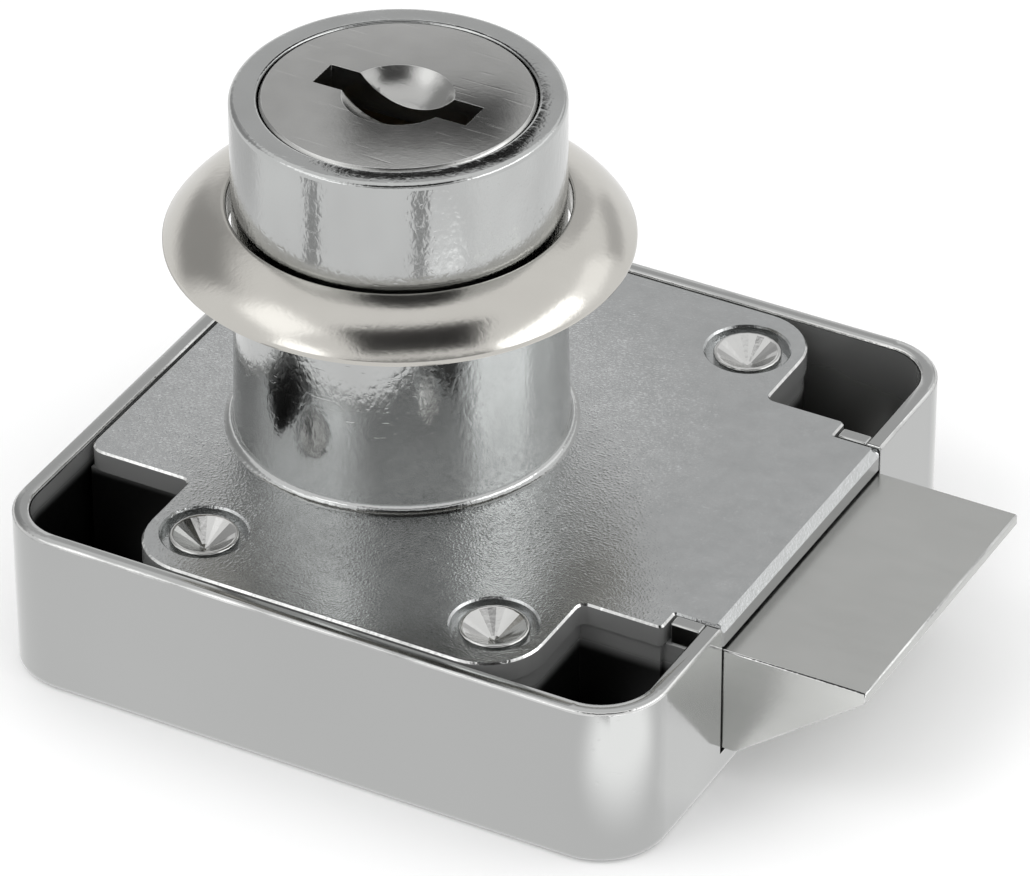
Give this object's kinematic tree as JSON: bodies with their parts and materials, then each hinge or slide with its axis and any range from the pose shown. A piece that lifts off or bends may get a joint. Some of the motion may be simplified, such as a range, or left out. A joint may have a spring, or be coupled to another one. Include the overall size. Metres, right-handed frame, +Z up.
{
  "type": "furniture push lock",
  "caption": "Square rim lock for furniture with a pressed, keyed barrel, a sliding trim ring and a slanted spring bolt.",
  "frame": {"origin": "on the barrel's axis, at the case's back face", "axes": "+Z runs up the barrel, away from the case's back; +X points out along the bolt; Y is across the case"},
  "size_m": [0.0485, 0.04, 0.031],
  "materials": {
    "bright_chrome": "mirror-bright plated casting",
    "satin_chrome": "satin plated casting, fine etched grain",
    "rivet_metal": "plated, dished by the riveting tool",
    "pearl_nickel": "pearl nickel plate, soft shine",
    "satin_steel": "satin, finely tumbled",
    "brass": "stamped",
    "spring_wire": "drawn wire",
    "cast_zinc": "raw die casting"
  },
  "bodies": {
    "housing": {"case": "bright_chrome", "cover": "satin_chrome", "cover_rivets": "rivet_metal", "push_spring": "spring_wire", "bolt_spring_left": "spring_wire", "bolt_spring_right": "spring_wire"},
    "trim": {"trim_ring": "pearl_nickel"},
    "press": {"pusher": "cast_zinc"},
    "core": {"plug": "satin_steel", "tail_clip": "spring_wire", "wafer_spring_1": "spring_wire", "wafer_spring_2": "spring_wire", "wafer_spring_3": "spring_wire", "wafer_spring_4": "spring_wire", "wafer_spring_5": "spring_wire", "wafer_spring_6": "spring_wire"},
    "latch": {"bolt": "satin_steel"},
    "tumbler_1": {"wafer_1": "brass"},
    "tumbler_2": {"wafer_2": "brass"},
    "tumbler_3": {"wafer_3": "brass"},
    "tumbler_4": {"wafer_4": "brass"},
    "tumbler_5": {"wafer_5": "brass"},
    "tumbler_6": {"wafer_6": "brass"}
  },
  "joints": [
    {"name": "push_travel", "type": "slide", "parent": "housing", "child": "press", "axis": [0, 0, -1], "range_m": [0, 0.0045], "stiffness_N_per_m": 500, "springref_m": -0.003, "deforming": ["push_spring"]},
    {"name": "key_turn", "type": "hinge", "parent": "press", "child": "core", "pos_m": [0, 0, 0.017], "axis": [0, 0, 1], "range_deg": [0, 90]},
    {"name": "bolt_slide", "type": "slide", "parent": "housing", "child": "latch", "axis": [-1, 0, 0], "range_m": [0, 0.0081], "stiffness_N_per_m": 250, "springref_m": -0.006, "deforming": ["bolt_spring_left", "bolt_spring_right"]},
    {"name": "ring_slide", "type": "slide", "parent": "housing", "child": "trim", "axis": [0, 0, 1], "range_m": [-0.009, 0.0065]},
    {"name": "wafer_1_slide", "type": "slide", "parent": "core", "child": "tumbler_1", "axis": [1, 0, 0], "range_m": [0, 0.0006], "stiffness_N_per_m": 20, "deforming": ["wafer_spring_1"]},
    {"name": "wafer_2_slide", "type": "slide", "parent": "core", "child": "tumbler_2", "axis": [-1, 0, 0], "range_m": [0, 0.0006], "stiffness_N_per_m": 20, "deforming": ["wafer_spring_2"]},
    {"name": "wafer_3_slide", "type": "slide", "parent": "core", "child": "tumbler_3", "axis": [1, 0, 0], "range_m": [0, 0.0006], "stiffness_N_per_m": 20, "deforming": ["wafer_spring_3"]},
    {"name": "wafer_4_slide", "type": "slide", "parent": "core", "child": "tumbler_4", "axis": [-1, 0, 0], "range_m": [0, 0.0006], "stiffness_N_per_m": 20, "deforming": ["wafer_spring_4"]},
    {"name": "wafer_5_slide", "type": "slide", "parent": "core", "child": "tumbler_5", "axis": [1, 0, 0], "range_m": [0, 0.0006], "stiffness_N_per_m": 20, "deforming": ["wafer_spring_5"]},
    {"name": "wafer_6_slide", "type": "slide", "parent": "core", "child": "tumbler_6", "axis": [-1, 0, 0], "range_m": [0, 0.0006], "stiffness_N_per_m": 20, "deforming": ["wafer_spring_6"]}
  ],
  "couplings": [
    {"joint": "bolt_slide", "follows": "push_travel", "ratio": 1.8}
  ]
}
